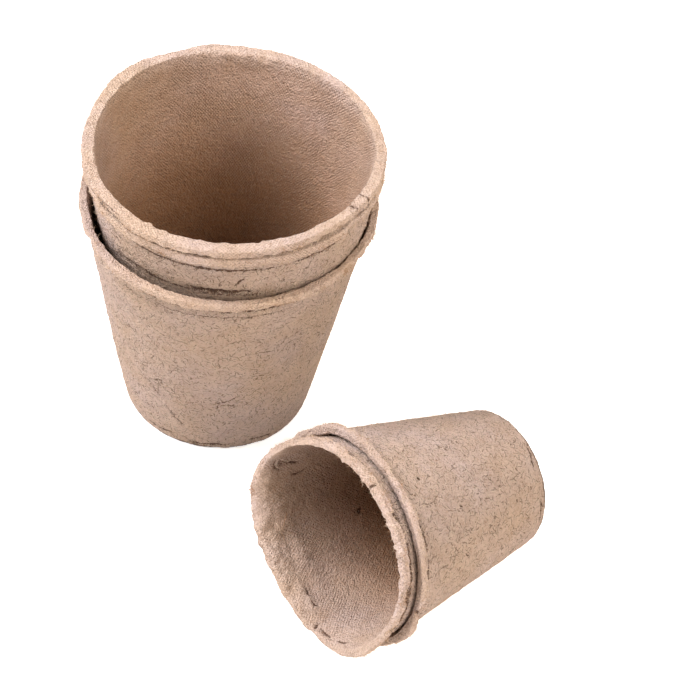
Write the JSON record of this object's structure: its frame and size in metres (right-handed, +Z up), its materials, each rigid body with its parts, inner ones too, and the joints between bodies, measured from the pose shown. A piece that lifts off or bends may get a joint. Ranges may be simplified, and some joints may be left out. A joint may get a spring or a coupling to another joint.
{
  "type": "peat pot",
  "caption": "Tapered moulded fibre seedling pots with rolled lips and drain holes: large ones nested upright, smaller ones nested on their side.",
  "frame": {"origin": "middle of the drain hole of the lowest upright pot, on the surface that the pots stand on", "axes": "+Z up along the lowest upright pot's axis; the lying nest is on the +X, -Y side, with its mouth towards -X and -Y; -Y is the side that the picture looks at from above"},
  "size_m": [0.1458, 0.1481, 0.1018],
  "materials": {
    "moulded_fibre": "matt, felted peat and wood fibre"
  },
  "bodies": {
    "bottom_pot": {"upright_bottom_pot": "moulded_fibre"},
    "middle_pot": {"upright_middle_pot": "moulded_fibre"},
    "top_pot": {"upright_top_pot": "moulded_fibre"},
    "lying_outer": {"lying_outer_pot": "moulded_fibre"},
    "lying_inner": {"lying_inner_pot": "moulded_fibre"}
  },
  "joints": [
    {"name": "middle_pot_pull", "type": "slide", "parent": "bottom_pot", "child": "middle_pot", "axis": [0, 0, 1], "range_m": [0, 0.07]},
    {"name": "top_pot_pull", "type": "slide", "parent": "middle_pot", "child": "top_pot", "axis": [0, 0, 1], "range_m": [0, 0.08]},
    {"name": "lying_nest_lift", "type": "slide", "parent": "bottom_pot", "child": "lying_outer", "axis": [0, 0, 1], "range_m": [0, 0.1]},
    {"name": "lying_inner_pull", "type": "slide", "parent": "lying_outer", "child": "lying_inner", "axis": [-0.7273, -0.6572, 0.1979], "range_m": [0, 0.055]}
  ]
}
